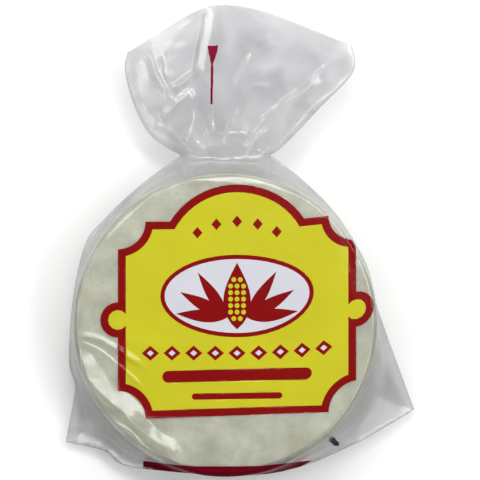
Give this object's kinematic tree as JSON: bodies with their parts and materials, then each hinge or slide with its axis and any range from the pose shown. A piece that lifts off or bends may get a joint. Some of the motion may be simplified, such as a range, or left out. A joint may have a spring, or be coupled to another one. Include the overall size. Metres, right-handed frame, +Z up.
{
  "type": "bagged corn tortilla stack",
  "caption": "Round stack of white corn tortillas in a clear printed film bag with a gathered neck and a fanned mouth, lying on its back.",
  "frame": {"origin": "middle of the bag's box in plan, at the level that the stack rests on", "axes": "+Z up, out of the printed side; +Y from the hem to the gathered neck and the mouth; +X to the right of someone who faces the print"},
  "size_m": [0.1822, 0.2434, 0.05],
  "materials": {
    "film": "clear, slightly hazy polyethylene film with soft creases",
    "tortilla": null,
    "yellow_print": "opaque yellow ink on the film",
    "red_print": "opaque red ink on the film",
    "pale_print": "opaque white ink on the film",
    "dark_print": "black ink of the printer's eye mark"
  },
  "bodies": {
    "root": {"tortilla_bag": "film"}
  },
  "joints": []
}
